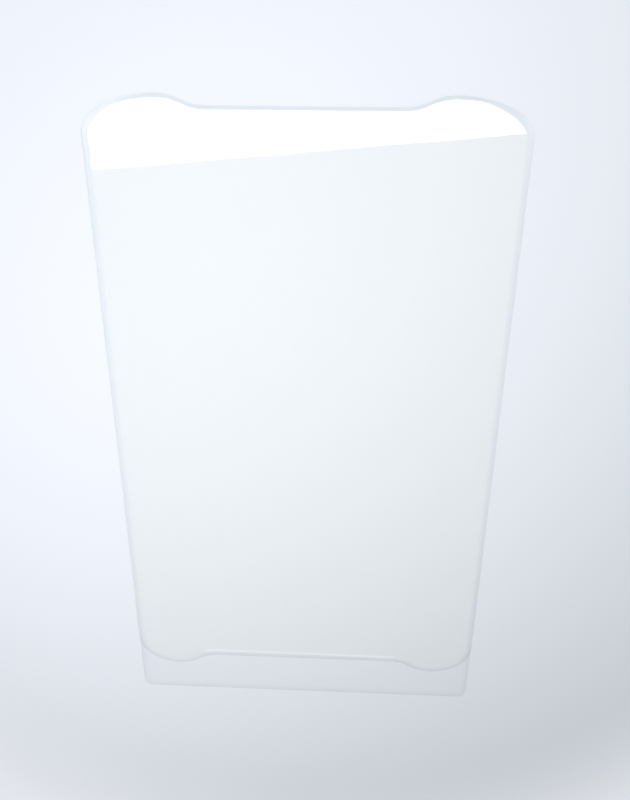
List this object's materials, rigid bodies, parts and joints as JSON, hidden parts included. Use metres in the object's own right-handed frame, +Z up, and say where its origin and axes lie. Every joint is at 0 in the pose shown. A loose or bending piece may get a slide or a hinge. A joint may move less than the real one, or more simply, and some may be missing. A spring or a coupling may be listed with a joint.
{
  "type": "screen protector",
  "caption": "Clear tempered-glass screen protector with rounded ears and shallow end recesses, lying on its clear release film with a pull end.",
  "frame": {"origin": "middle of the whole part's outline, pull end included, on the plane that the film lies on", "axes": "+Y along the length towards the pane's top end, +X across the width, +Z up out of the pane's face"},
  "size_m": [0.0676, 0.1184, 0.0004],
  "materials": {
    "tempered_glass": "polished",
    "release_film": "gloss"
  },
  "bodies": {
    "root": {"glass_pane": "tempered_glass", "release_liner": "release_film"}
  },
  "joints": []
}
